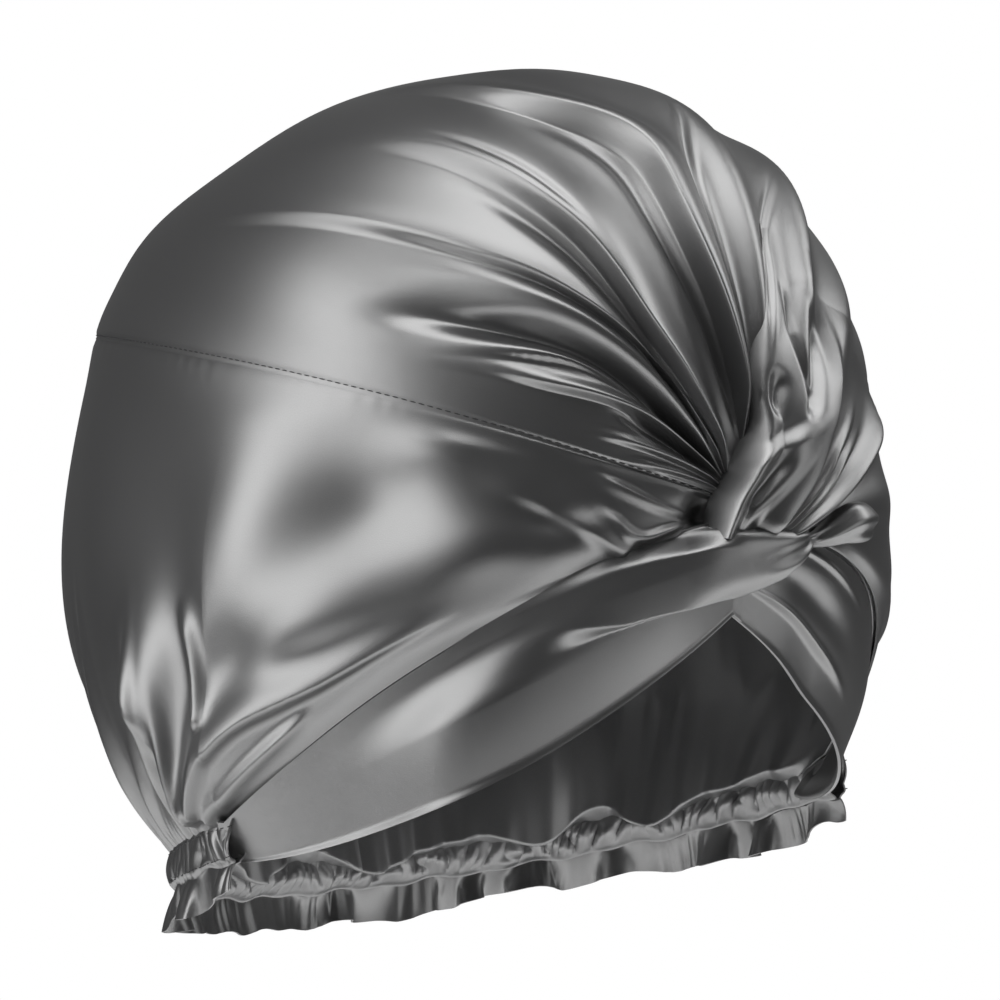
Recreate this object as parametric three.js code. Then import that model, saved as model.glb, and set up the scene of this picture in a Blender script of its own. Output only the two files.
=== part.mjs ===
// Satin turban bonnet with a twisted front and an elastic nape, in millimetres.
// +Z is up, the face opening looks along -Y, and the wearer's right side is -X.
// The origin is on the head's upright axis, a finger's width below the ear ends of the brow band.

import * as THREE from 'three';
import { mergeVertices } from 'three/addons/utils/BufferGeometryUtils.js';

// Dome: a crown swept about an axis that runs from the twist in front to the seam at the back
const domeHalfWidth = 108;
const domeFrontReach = 131;
const domeBackReach = 130;
const crownRise = 103;
const crownForwardLean = 0.28;
const twistHeight = 125;
const backSeamHeight = 149;
const seamDegrees = 75;
const twistDegrees = 4;

// Side panels: fullness below the crown seam, and how far they turn in at the band and at the nape
const sideFullness = 1.08;
const bandTuck = 0.45;
const napeTuck = 0.65;
const arrivalSteepness = 1.3;
const earBlendStart = 0.8;
const earBlendLength = 0.5;
const sideFoldCount = 7;
const sideFoldDepth = 4;
const sideFoldTop = 0.4;
const sideFoldFade = 0.4;
const sideFoldHemFade = 0.15;

// Brow band: its seam to the side panel and its free lower edge
const bandStandOff = 1;
const bandSeamHalfWidth = domeHalfWidth + bandStandOff;
const bandSeamHalfDepth = domeFrontReach + bandStandOff;
const bandSeamFrontHeight = 117;
const bandSeamCurve = 1.8;
const faceEdgeInset = 5;
const faceEdgeHalfWidth = domeHalfWidth;
const faceEdgeHalfDepth = bandSeamHalfDepth - faceEdgeInset;
const faceEdgeFrontHeight = 94;
const faceEdgeCurve = 1.45;

// Nape hem: a half oval that slopes down from the ears to the back
const earForward = 35;
const hemReach = 105;
const hemTopAtEar = 34;
const hemTopAtBack = 1;
const hemEndSetback = 5;
const casingHeight = 12;
const ruffleHeight = 10;
const gatherCount = 22;
const casingGatherDepth = 1.8;
const ruffleTopWave = 1;
const ruffleEdgeWave = 5;

// Cloth, thread and elastic
const clothThickness = 0.7;
const bandThickness = 1;
const layerGap = 0.8;
const pieceGap = 0.4;
const threadDiameter = 0.7;
const stitchInset = 1.5;
const elasticWidth = 8;
const elasticThickness = 0.8;
const barTackLength = 3;

// Twist: two strands that cross in front of the knot tack
const leftStrandReachDegrees = 42;
const leftStrandStartDegrees = 1.5;
const leftStrandEdgeDegrees = 5;
const leftStrandEdgeTwist = 0.9;
const leftStrandHookDegrees = 60;
const leftStrandHookLength = 5;
const leftStrandLift = 6;
const leftStrandPleats = 4;
const leftStrandPleatDepth = 1.6;
const strandClearance = 0.8;
const rightStrandFromShare = 0.36;
const rightStrandToShare = 0.37;
const rightStrandDrop = 1;
const rightStrandTopHeight = twistHeight - rightStrandDrop;
const rightStrandMiddleWidth = 20;
const rightStrandEndWidth = 7;
const rightStrandLift = 8;
const rightStrandEndLift = 4;
const rightStrandBulge = 2;
const knotTackRadius = 3;

// How finely the cloth is divided
const crownRows = 16;
const widestColumnDegrees = 8;
const sideFrontColumns = 8;
const sideRows = 9;
const stepsPerFold = 4;
const bandColumns = 16;
const bandRows = 3;
const leftStrandRows = 10;
const rightStrandColumns = 12;
const rightStrandRows = 6;
const hemSteps = 44;
const ruffleRows = 3;
const seamStitchSteps = 36;
const threadSides = 4;
const knotTackSides = 10;

// Crown folds that run out of the twist. Angles are in degrees from the top, right side negative.
// Reach is the share of the way to the back where the fold dies out.
const foldStartSharpness = 4;
const crownFolds = [
  { angle: -55, halfWidth: 7, height: 4, reach: 0.5 },
  { angle: -42, halfWidth: 5, height: 5, reach: 0.62 },
  { angle: -31, halfWidth: 5, height: 6, reach: 0.66 },
  { angle: -1, halfWidth: 7, height: 6, reach: 0.6 },
  { angle: 17, halfWidth: 7, height: 5, reach: 0.52 },
  { angle: 34, halfWidth: 7, height: 5, reach: 0.52 },
  { angle: 54, halfWidth: 8, height: 4, reach: 0.5 },
];

const right = -1;
const left = 1;
const halfTurn = Math.PI;
const seamTurn = THREE.MathUtils.degToRad(seamDegrees);
const twistSweep = THREE.MathUtils.degToRad(twistDegrees);
const earAngle = Math.acos(earForward / bandSeamHalfDepth);
const earSweep = Math.acos(earForward / domeFrontReach);
const hemHalfWidth = bandSeamHalfWidth * Math.sin(earAngle);
const hemEndShare = Math.asin(hemEndSetback / hemReach) / halfTurn;
const innerLift = -clothThickness - layerGap;
const up = new THREE.Vector3(0, 0, 1);
const domeMiddle = new THREE.Vector3(0, 0, twistHeight);

function mix(from, to, share) {
  return from + (to - from) * share;
}

function ease(value) {
  return THREE.MathUtils.smoothstep(value, 0, 1);
}

function degrees(angle) {
  return THREE.MathUtils.radToDeg(angle);
}

function radians(angle) {
  return THREE.MathUtils.degToRad(angle);
}

// Crown surface. turn is the angle round the axis from the top, sweep the angle from twist to back.
function crownRiseAt(sweep) {
  return crownRise * (1 + crownForwardLean * Math.cos(sweep));
}

function crownBase(turn, sweep) {
  const reach = Math.cos(sweep) > 0 ? domeFrontReach : domeBackReach;
  const axisHeight = mix(twistHeight, backSeamHeight, (1 - Math.cos(sweep)) / 2);
  return new THREE.Vector3(
    domeHalfWidth * Math.sin(sweep) * Math.sin(turn),
    -reach * Math.cos(sweep),
    axisHeight + crownRiseAt(sweep) * Math.sin(sweep) * Math.cos(turn),
  );
}

function crownNormal(turn, sweep) {
  return new THREE.Vector3(
    Math.sin(sweep) * Math.sin(turn) / domeHalfWidth,
    -Math.cos(sweep) / domeFrontReach,
    Math.sin(sweep) * Math.cos(turn) / crownRise,
  ).normalize();
}

function crownPoint(turn, sweep, lift) {
  return crownBase(turn, sweep).addScaledVector(crownNormal(turn, sweep), lift);
}

function foldLift(turn, sweep) {
  let lift = 0;
  for (const fold of crownFolds) {
    const across = (degrees(turn) - fold.angle) / fold.halfWidth;
    const along = sweep / (halfTurn * fold.reach);
    lift += fold.height * Math.exp(-2 * across * across) * ease(1 - along) * ease(along * foldStartSharpness);
  }
  return lift;
}

// Brow band edges. share runs from the twist (0) to the ear (1), and may pass 0 to the other side.
function bandSeamPoint(side, share) {
  const angle = earAngle * share;
  return new THREE.Vector3(
    side * bandSeamHalfWidth * Math.sin(angle),
    -bandSeamHalfDepth * Math.cos(angle),
    mix(bandSeamFrontHeight, hemTopAtEar, Math.pow(Math.abs(share), bandSeamCurve)),
  );
}

function faceEdgePoint(side, share) {
  const angle = earAngle * share;
  const earHeight = hemTopAtEar - casingHeight;
  return new THREE.Vector3(
    side * faceEdgeHalfWidth * Math.sin(angle),
    -faceEdgeHalfDepth * Math.cos(angle),
    mix(earHeight, faceEdgeFrontHeight, Math.pow(Math.max(0, 1 - Math.abs(share)), faceEdgeCurve)),
  );
}

// Nape hem. share runs from the right ear (0) by the back (0.5) to the left ear (1).
function hemPoint(share, drop, outward) {
  const angle = halfTurn * share;
  const out = new THREE.Vector3(-Math.cos(angle) / hemHalfWidth, Math.sin(angle) / hemReach, 0);
  return new THREE.Vector3(
    -hemHalfWidth * Math.cos(angle),
    -earForward + hemReach * Math.sin(angle),
    mix(hemTopAtEar, hemTopAtBack, Math.sin(angle)) - drop,
  ).addScaledVector(out.normalize(), outward);
}

// Side panel. Each line hangs from the crown seam to the band seam or, behind the ear, to the hem.
function sideBottom(side, sweep) {
  if (sweep <= earSweep) {
    return bandSeamPoint(side, sweep / earSweep);
  }
  const back = (sweep - earSweep) / (halfTurn - earSweep);
  return hemPoint(side === right ? back / 2 : 1 - back / 2, 0, 0);
}

function sideBase(side, sweep, share) {
  const top = crownBase(side * seamTurn, sweep).addScaledVector(up, -pieceGap);
  const bottom = sideBottom(side, sweep);
  const drop = top.distanceTo(bottom);
  const leave = new THREE.Vector3(
    side * domeHalfWidth * Math.cos(seamTurn) * Math.sin(sweep),
    0,
    -crownRiseAt(sweep) * Math.sin(seamTurn),
  ).setLength(drop * sideFullness);
  const tuck = mix(bandTuck, napeTuck, ease((sweep / earSweep - earBlendStart) / earBlendLength));
  const arrive = new THREE.Vector3(-bottom.x, -bottom.y, 0).setLength(tuck);
  arrive.addScaledVector(up, tuck - arrivalSteepness).multiplyScalar(drop);
  const rest = 1 - share;
  return top.multiplyScalar((1 + 2 * share) * rest * rest)
    .addScaledVector(leave, share * rest * rest)
    .addScaledVector(bottom, share * share * (3 - 2 * share))
    .addScaledVector(arrive, -share * share * rest);
}

function bandBase(side, share, down) {
  const top = bandSeamPoint(side, share).addScaledVector(up, -pieceGap);
  return top.lerp(faceEdgePoint(side, share), down);
}

// Point lifted off a surface along its outward normal, found from nearby points
function liftedPoint(surfaceAt, u, v, lift) {
  const step = 1e-3;
  const point = surfaceAt(u, v);
  const alongU = surfaceAt(u + step, v).sub(surfaceAt(u - step, v));
  const alongV = surfaceAt(u, v + step).sub(surfaceAt(u, v - step));
  const normal = alongU.cross(alongV).normalize();
  if (normal.dot(point.clone().sub(domeMiddle)) < 0) {
    normal.negate();
  }
  return point.addScaledVector(normal, lift);
}

// Folds that the nape gathers send up the side panel, and none where it meets its seams
function sideFoldLift(sweep, share) {
  const back = Math.max(0, (sweep - earSweep) / (halfTurn - earSweep));
  const wave = Math.pow(Math.sin(halfTurn * sideFoldCount * back), 2);
  const fade = ease((share - sideFoldTop) / sideFoldFade) * ease((1 - share) / sideFoldHemFade);
  return sideFoldDepth * wave * fade;
}

// Closed solid between an outer and an inner grid of points
function sheetSolid(outer, inner) {
  const rows = outer.length;
  const columns = outer[0].length;
  const positions = [...outer, ...inner].flatMap(row => row.flatMap(point => point.toArray()));
  const triangles = [];
  const quad = (a, b, c, d) => triangles.push(a, b, c, a, c, d);
  const out = (row, column) => row * columns + column;
  const under = (row, column) => (rows + row) * columns + column;
  const lastRow = rows - 1;
  const lastColumn = columns - 1;
  for (let row = 0; row < lastRow; row += 1) {
    for (let column = 0; column < lastColumn; column += 1) {
      quad(out(row, column), out(row, column + 1), out(row + 1, column + 1), out(row + 1, column));
      quad(under(row, column), under(row + 1, column), under(row + 1, column + 1), under(row, column + 1));
    }
    quad(out(row, 0), out(row + 1, 0), under(row + 1, 0), under(row, 0));
    quad(out(row + 1, lastColumn), out(row, lastColumn), under(row, lastColumn), under(row + 1, lastColumn));
  }
  for (let column = 0; column < lastColumn; column += 1) {
    quad(out(0, column + 1), out(0, column), under(0, column), under(0, column + 1));
    quad(out(lastRow, column), out(lastRow, column + 1), under(lastRow, column + 1), under(lastRow, column));
  }
  return closedGeometry(positions, triangles);
}

// Joins points that meet at a pole, drops the faces that vanish there and turns the faces outwards
function closedGeometry(positions, triangles) {
  const geometry = new THREE.BufferGeometry();
  geometry.setAttribute('position', new THREE.Float32BufferAttribute(positions, 3));
  geometry.setIndex(triangles);
  const merged = mergeVertices(geometry, 1e-3);
  const point = merged.getAttribute('position');
  const index = merged.getIndex().array;
  const corners = [new THREE.Vector3(), new THREE.Vector3(), new THREE.Vector3()];
  const kept = [];
  let volume = 0;
  for (let i = 0; i < index.length; i += 3) {
    const triangle = [index[i], index[i + 1], index[i + 2]];
    if (new Set(triangle).size < 3) {
      continue;
    }
    kept.push(...triangle);
    triangle.forEach((vertex, k) => corners[k].fromBufferAttribute(point, vertex));
    volume += corners[0].dot(corners[1].cross(corners[2]));
  }
  merged.setIndex(volume < 0 ? kept.reverse() : kept);
  merged.computeVertexNormals();
  return merged;
}

function shares(count) {
  return Array.from({ length: count + 1 }, (unused, i) => i / count);
}

// The first value, every second one after it, and the last
function everySecond(values) {
  return values.filter((value, i) => i % 2 === 0 || i === values.length - 1);
}

// The sorted values, with more put evenly between any two that lie too far apart
function fillGaps(values, widest) {
  return values.flatMap((value, i) => {
    const next = i + 1 < values.length ? values[i + 1] : value;
    const count = Math.max(1, Math.ceil((next - value) / widest));
    return shares(count).slice(0, count).map(share => mix(value, next, share));
  });
}

// Sheet over two lists of values. surfaceAt gives the point for a pair of values and a lift.
function sheet(rowValues, columnValues, surfaceAt, outerLift, innerLiftAt) {
  const at = liftAt => rowValues.map(u => columnValues.map(v => surfaceAt(u, v, liftAt(u, v))));
  return sheetSolid(at(outerLift), at(innerLiftAt));
}

// Thread laid along points
function threadGeometry(points) {
  const corners = shares(threadSides).slice(1).map(share => new THREE.Vector2(
    threadDiameter / 2 * Math.cos(2 * halfTurn * share),
    threadDiameter / 2 * Math.sin(2 * halfTurn * share),
  ));
  return new THREE.ExtrudeGeometry(new THREE.Shape(corners), {
    steps: points.length - 1,
    extrudePath: new THREE.CatmullRomCurve3(points),
    bevelEnabled: false,
  });
}

const satin = { color: 0x6b6b6d, roughness: 0.32, metalness: 0 };
const satinInside = { color: 0x4b4b4e, roughness: 0.4, metalness: 0 };
const thread = { color: 0x3a3a3c, roughness: 0.7, metalness: 0 };
const rubber = { color: 0x8a8a8c, roughness: 0.85, metalness: 0 };

const bonnet = new THREE.Group();

function addPiece(name, geometry, finish) {
  const mesh = new THREE.Mesh(geometry, new THREE.MeshStandardMaterial(finish));
  mesh.name = name;
  bonnet.add(mesh);
}

// Crown panel: columns follow the ridges and the valleys of the folds
const foldColumns = crownFolds.flatMap(fold => [
  fold.angle - fold.halfWidth, fold.angle - fold.halfWidth / 2, fold.angle, fold.angle + fold.halfWidth / 2,
]).map(radians);
const foldedColumns = [-seamTurn, ...foldColumns, seamTurn].sort((a, b) => a - b);
const crownColumns = fillGaps(foldedColumns, radians(widestColumnDegrees));
const crownSweeps = shares(crownRows).map(share => mix(twistSweep, halfTurn, share));

addPiece('crown_panel', sheet(crownSweeps, crownColumns,
  (sweep, turn, lift) => crownPoint(turn, sweep, lift),
  (sweep, turn) => foldLift(turn, sweep),
  (sweep, turn) => foldLift(turn, sweep) - clothThickness), satin);

addPiece('crown_lining', sheet([0, ...crownSweeps], everySecond(crownColumns),
  (sweep, turn, lift) => crownPoint(turn, sweep, lift),
  () => innerLift,
  () => innerLift - clothThickness), satinInside);

// Side panels and their linings
const centreGapSweep = pieceGap / domeHalfWidth;

const sideFrontSweeps = shares(sideFrontColumns).map(share => mix(twistSweep, earSweep, share));
const sideBackSweeps = shares(sideFoldCount * stepsPerFold).map(
  share => mix(earSweep, halfTurn - centreGapSweep, share)).slice(1);
const sideSweeps = [...sideFrontSweeps, ...sideBackSweeps];
const liningSweeps = [centreGapSweep, ...sideFrontSweeps, ...everySecond(sideBackSweeps.slice(1))];

for (const [sideName, side] of [['right', right], ['left', left]]) {
  const surface = (sweep, share) => sideBase(side, sweep, share);
  const lifted = (sweep, share, lift) => liftedPoint(surface, sweep, share, lift);
  addPiece(`side_panel_${sideName}`, sheet(sideSweeps, shares(sideRows), lifted,
    sideFoldLift,
    (sweep, share) => sideFoldLift(sweep, share) - clothThickness), satin);
  addPiece(`side_lining_${sideName}`, sheet(liningSweeps, shares(sideRows), lifted,
    () => innerLift,
    () => innerLift - clothThickness), satinInside);
}

// Brow bands
const bandGapShare = pieceGap / bandSeamHalfDepth;

for (const [sideName, side] of [['right', right], ['left', left]]) {
  const surface = (share, down) => bandBase(side, share, down);
  const bandShares = shares(bandColumns).map(share => mix(bandGapShare, 1, share));
  addPiece(`brow_band_${sideName}`, sheet(bandShares, shares(bandRows),
    (share, down, lift) => liftedPoint(surface, share, down, lift), () => 0, () => -bandThickness), satin);
}

// Left twist strand: the far crown cloth, drawn over the crown folds into the knot
const leftStrandReach = radians(leftStrandReachDegrees);
const leftStrandStart = radians(leftStrandStartDegrees);

function leftStrandTurn(sweep, across) {
  const along = degrees(sweep) - leftStrandStartDegrees;
  const hook = leftStrandHookDegrees * Math.exp(-along / leftStrandHookLength);
  const edge = leftStrandEdgeDegrees + leftStrandEdgeTwist * along - hook;
  return mix(radians(edge), seamTurn, across);
}

function leftStrandClearLift(sweep, across) {
  const gathered = 1 - (sweep - leftStrandStart) / (leftStrandReach - leftStrandStart);
  const pleat = Math.pow(Math.sin(halfTurn * leftStrandPleats * across), 2);
  const rise = leftStrandLift * ease(gathered) + leftStrandPleatDepth * pleat * ease(gathered * 2);
  return foldLift(leftStrandTurn(sweep, across), sweep) + strandClearance + rise;
}

addPiece('twist_strand_left', sheet(
  shares(leftStrandRows).map(share => mix(leftStrandStart, leftStrandReach, share)),
  shares(leftStrandPleats * stepsPerFold),
  (sweep, across, lift) => crownPoint(leftStrandTurn(sweep, across), sweep, lift),
  (sweep, across) => leftStrandClearLift(sweep, across) + clothThickness,
  leftStrandClearLift), satin);

// Right twist strand: the right band's end, crossed over the left strand to the other side
function rightStrandPoint(share, down) {
  const seam = bandSeamPoint(left, share);
  const onBand = ease(-share / rightStrandFromShare);
  const wrapped = ease(share / rightStrandToShare);
  const top = mix(rightStrandTopHeight, seam.z - pieceGap, onBand);
  const width = mix(rightStrandMiddleWidth, rightStrandEndWidth, wrapped);
  return seam.setZ(top - down * width);
}

function rightStrandLiftAt(share, down) {
  const crossed = ease(1 + share / rightStrandFromShare);
  const wrapped = ease(share / rightStrandToShare);
  const lift = crossed * mix(rightStrandLift, rightStrandEndLift, wrapped);
  return strandClearance + lift + rightStrandBulge * crossed * Math.sin(halfTurn * down);
}

addPiece('twist_strand_right', sheet(
  shares(rightStrandColumns).map(share => mix(-rightStrandFromShare, rightStrandToShare, share)),
  shares(rightStrandRows),
  (share, down, lift) => liftedPoint(rightStrandPoint, share, down, lift),
  (share, down) => rightStrandLiftAt(share, down) + clothThickness,
  rightStrandLiftAt), satin);

// Knot tack: the bundle of stitches behind the crossing
const knotTackBack = domeFrontReach;
const knotTackLength = leftStrandLift;
const knotTack = new THREE.CylinderGeometry(knotTackRadius, knotTackRadius, knotTackLength, knotTackSides);
knotTack.translate(0, -knotTackBack - knotTackLength / 2, twistHeight);
addPiece('knot_tack', knotTack, thread);

// Nape hem: outer casing with its gathers, elastic, inner casing, ruffle and stitching
function hemShares(count, end) {
  return shares(count).map(share => mix(end, 1 - end, share));
}

function gatherWave(share) {
  const along = (share - hemEndShare) / (1 - 2 * hemEndShare);
  return Math.pow(Math.sin(halfTurn * gatherCount * along), 2);
}

const gatherShares = hemShares(gatherCount * stepsPerFold, hemEndShare);
const plainShares = hemShares(hemSteps, hemEndShare);
const casingInside = elasticThickness / 2 + pieceGap;
const casingTop = pieceGap;
const casingBottom = casingTop + casingHeight;
const casingDrops = [casingTop, (casingTop + casingBottom) / 2, casingBottom];

function casingGather(share, drop) {
  return casingGatherDepth * gatherWave(share) * Math.sin(halfTurn * (drop - casingTop) / casingHeight);
}

addPiece('nape_casing_outer', sheet(gatherShares, casingDrops, hemPoint,
  (share, drop) => casingInside + casingGather(share, drop) + clothThickness,
  (share, drop) => casingInside + casingGather(share, drop)), satin);

addPiece('nape_casing_inner', sheet(plainShares, [casingTop, casingBottom], hemPoint,
  () => -casingInside,
  () => -casingInside - clothThickness), satinInside);

const elasticTop = casingTop + (casingHeight - elasticWidth) / 2;
const elasticEndShare = hemEndShare + (barTackLength + pieceGap) / (halfTurn * hemHalfWidth);
const elasticShares = hemShares(hemSteps, elasticEndShare);
const barTackEndShare = hemEndShare + barTackLength / (halfTurn * hemHalfWidth);
const bandOfElastic = [elasticTop, elasticTop + elasticWidth];

addPiece('nape_elastic', sheet(elasticShares, bandOfElastic, hemPoint,
  () => elasticThickness / 2, () => -elasticThickness / 2), rubber);
addPiece('elastic_tack_right', sheet([hemEndShare, barTackEndShare], bandOfElastic, hemPoint,
  () => elasticThickness / 2, () => -elasticThickness / 2), thread);
addPiece('elastic_tack_left', sheet([1 - barTackEndShare, 1 - hemEndShare], bandOfElastic, hemPoint,
  () => elasticThickness / 2, () => -elasticThickness / 2), thread);

const ruffleTop = casingBottom + pieceGap;
const ruffleDrops = shares(ruffleRows).map(share => ruffleTop + share * ruffleHeight);

function ruffleLift(share, drop) {
  const swing = mix(ruffleTopWave, ruffleEdgeWave, (drop - ruffleTop) / ruffleHeight);
  return swing * (2 * gatherWave(share) - 1);
}

addPiece('nape_ruffle', sheet(gatherShares, ruffleDrops, hemPoint,
  (share, drop) => ruffleLift(share, drop) + clothThickness / 2,
  (share, drop) => ruffleLift(share, drop) - clothThickness / 2), satin);

const threadLift = pieceGap + threadDiameter / 2;
const stitchDrops = { upper: casingTop + stitchInset, lower: casingBottom - stitchInset };
for (const [stitchName, drop] of Object.entries(stitchDrops)) {
  const gatherThere = casingGatherDepth * stitchInset / (casingHeight / 2);
  const outward = casingInside + clothThickness + gatherThere + threadLift;
  const points = plainShares.map(share => hemPoint(share, drop, outward));
  addPiece(`casing_stitch_${stitchName}`, threadGeometry(points), thread);
}

// Stitching along the two crown seams
const leftStrandEnd = leftStrandReach + threadDiameter / domeHalfWidth;
for (const [sideName, side, first] of [['right', right, twistSweep], ['left', left, leftStrandEnd]]) {
  const points = shares(seamStitchSteps).map(share => crownPoint(side * seamTurn,
    mix(first, halfTurn - 2 * threadDiameter / domeHalfWidth, share), threadLift));
  addPiece(`crown_seam_stitch_${sideName}`, threadGeometry(points), thread);
}

export default bonnet;
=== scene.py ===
import bpy
import bmesh
import math
import numpy as np
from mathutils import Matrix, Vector


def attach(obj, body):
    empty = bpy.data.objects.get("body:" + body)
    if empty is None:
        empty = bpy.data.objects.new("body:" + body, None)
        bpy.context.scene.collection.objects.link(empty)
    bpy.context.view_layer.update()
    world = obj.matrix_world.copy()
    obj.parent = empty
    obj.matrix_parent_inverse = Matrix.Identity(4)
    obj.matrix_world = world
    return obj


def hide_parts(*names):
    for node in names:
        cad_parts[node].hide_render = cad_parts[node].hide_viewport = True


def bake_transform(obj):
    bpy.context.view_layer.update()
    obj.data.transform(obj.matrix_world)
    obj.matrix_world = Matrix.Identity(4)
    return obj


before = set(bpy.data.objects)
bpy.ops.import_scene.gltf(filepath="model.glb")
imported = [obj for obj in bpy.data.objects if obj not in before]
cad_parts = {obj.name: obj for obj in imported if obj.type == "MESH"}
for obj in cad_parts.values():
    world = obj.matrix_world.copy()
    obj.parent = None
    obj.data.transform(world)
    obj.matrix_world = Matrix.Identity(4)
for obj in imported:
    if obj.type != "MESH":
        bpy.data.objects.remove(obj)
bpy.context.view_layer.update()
mm = 0.001

# the bonnet's plain form, in metres and degrees, as the frame has it
form = {
    "halfWidth": 0.108,
    "frontReach": 0.131,
    "backReach": 0.130,
    "crownRise": 0.103,
    "forwardLean": 0.28,
    "twistHeight": 0.125,
    "backHeight": 0.149,
    "seamTurn": 75.0,
    "bandStandOff": 0.001,
    "bandFrontHeight": 0.117,
    "bandCurve": 1.8,
    "edgeInset": 0.005,
    "edgeFrontHeight": 0.094,
    "edgeCurve": 1.45,
    "sideFullness": 1.08,
    "bandTuck": 0.45,
    "napeTuck": 0.65,
    "napeTuckFrom": (0.8, 0.5),
    "arrivalSteepness": 1.3,
    "earForward": 0.035,
    "hemReach": 0.105,
    "hemTopAtEar": 0.034,
    "hemTopAtBack": 0.001,
    "casingHeight": 0.012,
    "ruffleHeight": 0.010,
    "pieceGap": 0.0004,
    "layerGap": 0.0008,
}
seamTurn = math.radians(form["seamTurn"])
bandHalfWidth = form["halfWidth"] + form["bandStandOff"]
bandHalfDepth = form["frontReach"] + form["bandStandOff"]
edgeHalfDepth = bandHalfDepth - form["edgeInset"]
earAngle = math.acos(form["earForward"] / bandHalfDepth)
earSweep = math.acos(form["earForward"] / form["frontReach"])
hemHalfWidth = bandHalfWidth * math.sin(earAngle)
right, left = -1, 1
sides = ((right, "right"), (left, "left"))


# small helpers for numbers and vectors
def mix(a, b, share):
    return a + (b - a) * share


def ease(value):
    t = np.clip(value, 0, 1)
    return t * t * (3 - 2 * t)


def easeFrom(value, start, length):
    return ease((value - start) / length)


def easeUntil(value, end, length):
    return ease((end - value) / length)


def unit(vectors):
    return vectors / np.maximum(np.linalg.norm(vectors, axis=-1, keepdims=True), 1e-12)


def bell(value, halfWidth):
    return np.exp(-2 * (value / halfWidth) ** 2)


def along(path, where):
    knots = np.array(path, float)
    return np.interp(where, knots[:, 0], knots[:, 1])


def softPath(path, where, window=7.0):
    halfSteps = 24
    step = window / halfSteps
    fine = np.arange(path[0][0] - 2 * window, path[-1][0] + 2 * window, step)
    weights = np.hanning(2 * halfSteps + 1)
    rough = np.pad(along(path, fine), halfSteps, mode="edge")
    return np.interp(where, fine, np.convolve(rough, weights / weights.sum(), "valid"))


def smoothPath(points, share):
    knots = np.array(points, float)
    place = np.clip(share, 0, 1) * (len(knots) - 1)
    low = np.minimum(place.astype(int), len(knots) - 2)
    t = (place - low)[..., None]
    padded = np.concatenate([2 * knots[:1] - knots[1:2], knots, 2 * knots[-1:] - knots[-2:-1]])
    p0, p1, p2, p3 = (padded[low + step] for step in range(4))
    return 0.5 * (2 * p1 + (p2 - p0) * t + (2 * p0 - 5 * p1 + 4 * p2 - p3) * t ** 2
                  + (3 * p1 - p0 - 3 * p2 + p3) * t ** 3)


def softWave(u, v, seed):
    rng = np.random.default_rng(seed)
    total = 0
    for step in range(6):
        turn, phase = rng.uniform(0, 2 * math.pi, 2)
        scale = rng.uniform(0.6, 1.7)
        total = total + np.sin(scale * (u * math.cos(turn) + v * math.sin(turn)) + phase)
    return total / 3


def gridOver(values, rows):
    return np.meshgrid(values, np.linspace(0, 1, rows))


def raised(base, normals, height):
    return base + normals * height[..., None]


# the plain surfaces
def crownBase(turn, sweep):
    sine, cosine = np.sin(sweep), np.cos(sweep)
    reach = np.where(cosine > 0, form["frontReach"], form["backReach"])
    axisHeight = mix(form["twistHeight"], form["backHeight"], (1 - cosine) / 2)
    rise = form["crownRise"] * (1 + form["forwardLean"] * cosine)
    return np.stack([form["halfWidth"] * sine * np.sin(turn), -reach * cosine,
                     axisHeight + rise * sine * np.cos(turn)], -1)


def crownNormal(turn, sweep):
    return unit(np.stack([np.sin(sweep) * np.sin(turn) / form["halfWidth"],
                          -np.cos(sweep) / form["frontReach"],
                          np.sin(sweep) * np.cos(turn) / form["crownRise"]], -1))


def bandSeam(side, share):
    angle = earAngle * share
    height = mix(form["bandFrontHeight"], form["hemTopAtEar"], np.minimum(np.abs(share), 1) ** form["bandCurve"])
    return np.stack([side * bandHalfWidth * np.sin(angle), -bandHalfDepth * np.cos(angle), height], -1)


def faceEdge(side, share):
    angle = earAngle * share
    low = form["hemTopAtEar"] - form["casingHeight"]
    height = mix(low, form["edgeFrontHeight"], np.maximum(0, 1 - np.abs(share)) ** form["edgeCurve"])
    return np.stack([side * form["halfWidth"] * np.sin(angle), -edgeHalfDepth * np.cos(angle), height], -1)


def hemOut(share):
    angle = math.pi * share
    return unit(np.stack([-np.cos(angle) / hemHalfWidth, np.sin(angle) / form["hemReach"], 0 * angle], -1))


def hemPoint(share, drop, outward):
    angle = math.pi * share
    height = mix(form["hemTopAtEar"], form["hemTopAtBack"], np.sin(angle)) - drop
    base = np.stack([-hemHalfWidth * np.cos(angle),
                     -form["earForward"] + form["hemReach"] * np.sin(angle), height], -1)
    return base + hemOut(share) * np.asarray(outward)[..., None]


def behindEar(sweep):
    return np.maximum(0, (sweep - earSweep) / (math.pi - earSweep))


def hemShareAt(side, back):
    return back / 2 if side == right else 1 - back / 2


def sideBottom(side, sweep):
    back = behindEar(sweep)
    onHem = hemPoint(hemShareAt(side, back), 0 * back, 0 * back)
    onBand = bandSeam(side, np.minimum(1, sweep / earSweep))
    return np.where((sweep <= earSweep)[..., None], onBand, onHem)


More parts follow.
